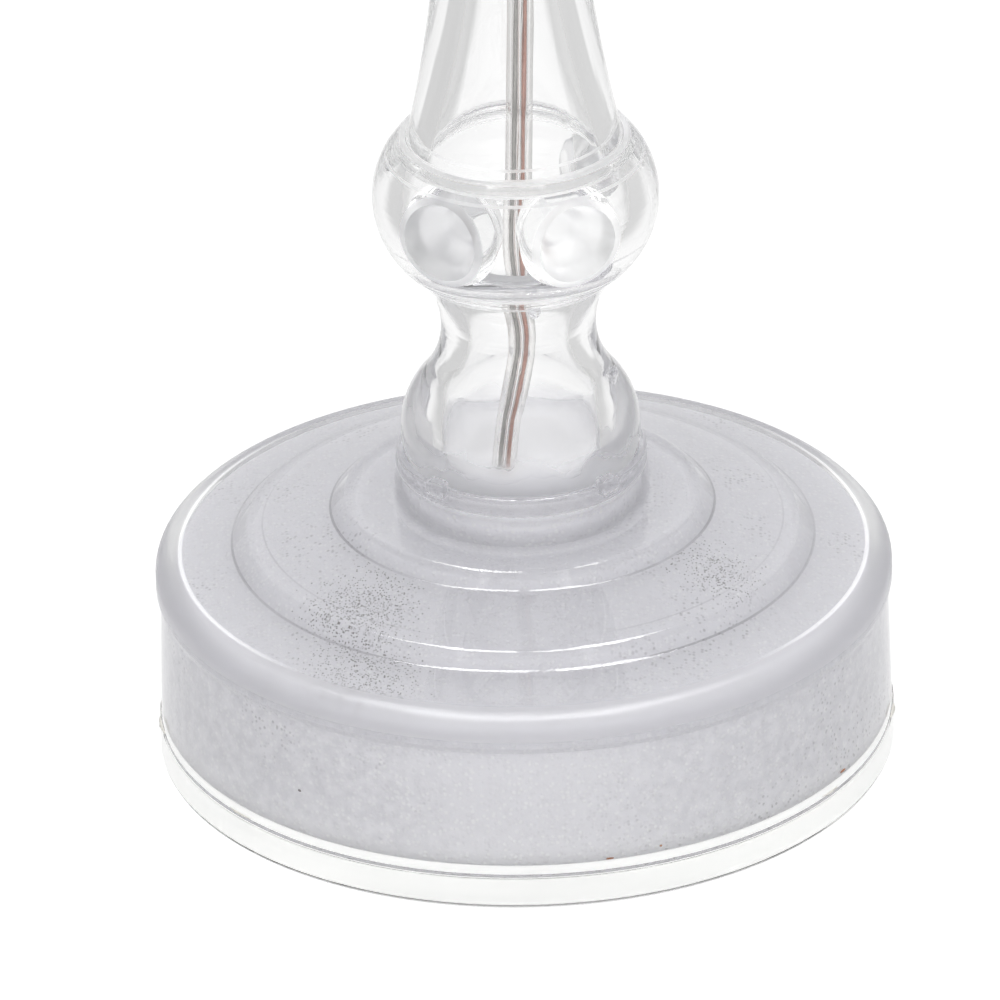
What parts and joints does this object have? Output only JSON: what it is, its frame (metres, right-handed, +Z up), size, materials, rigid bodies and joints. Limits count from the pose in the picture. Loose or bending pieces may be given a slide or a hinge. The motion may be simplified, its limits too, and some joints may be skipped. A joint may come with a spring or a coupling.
{
  "type": "decorative_lamp",
  "caption": "Battery LED lamp shaped as a clear candlestick: round stepped base with a snap door and a slide switch, turned hollow stem with a twin lead, drip cup and flame cover",
  "frame": {"origin": "centre of the foot ring's underside, on the stem's axis", "axes": "+Z up along the stem, -Y the front of the picture, +X to its right"},
  "size_m": [0.075, 0.075, 0.1969],
  "materials": {
    "clear_plastic": "gloss",
    "frosted_plastic": "matte",
    "white_plastic": "satin",
    "ivory_plastic": "satin",
    "jacket": "gloss",
    "tinned_wire": "satin",
    "copper_wire": "satin",
    "cell_jacket": "gloss",
    "nickel_steel": "satin",
    "zinc_steel": "satin",
    "foam": "matte",
    "green_board": "satin",
    "black_plastic": "matte",
    "resistor_body": "satin",
    "red_wire": "satin",
    "black_wire": "satin",
    "warm_lens": "gloss",
    "flame_plastic": "satin"
  },
  "bodies": {
    "base": {"base_shell": "clear_plastic", "frosted_liner": "frosted_plastic", "bottom_plate": "clear_plastic", "battery_tray": "white_plastic", "cell_front": "cell_jacket", "cell_middle": "cell_jacket", "cell_back": "cell_jacket", "contact_plates_right": "nickel_steel", "contact_plates_left": "nickel_steel", "contact_springs": "nickel_steel", "tray_screws": "zinc_steel", "circuit_board": "green_board", "driver_chip": "black_plastic", "resistor": "resistor_body", "board_screws": "zinc_steel", "switch_body": "black_plastic", "switch_terminals": "nickel_steel", "battery_wire_red": "red_wire", "battery_wire_black": "black_wire", "lead_jacket": "jacket", "tinned_conductor": "tinned_wire", "copper_conductor": "copper_wire", "stem_nut": "white_plastic", "lower_stem": "clear_plastic", "stem_knob": "clear_plastic", "upper_stem": "clear_plastic", "upper_knob": "clear_plastic", "drip_cup": "clear_plastic", "candle_sleeve": "ivory_plastic", "led_holder": "white_plastic", "led_lens": "warm_lens", "led_legs": "tinned_wire", "joint_sleeves": "black_plastic", "flame_cover": "flame_plastic"},
    "door": {"battery_door": "white_plastic", "door_pad": "foam"},
    "slider": {"switch_slider": "black_plastic"}
  },
  "joints": [
    {"name": "door_swing", "type": "hinge", "parent": "base", "child": "door", "pos_m": [0.0243, 0, 0.0008], "axis": [0, -1, 0], "range_deg": [0, 50]},
    {"name": "switch_slide", "type": "slide", "parent": "base", "child": "slider", "axis": [1, 0, 0], "range_m": [0, 0.002]}
  ]
}
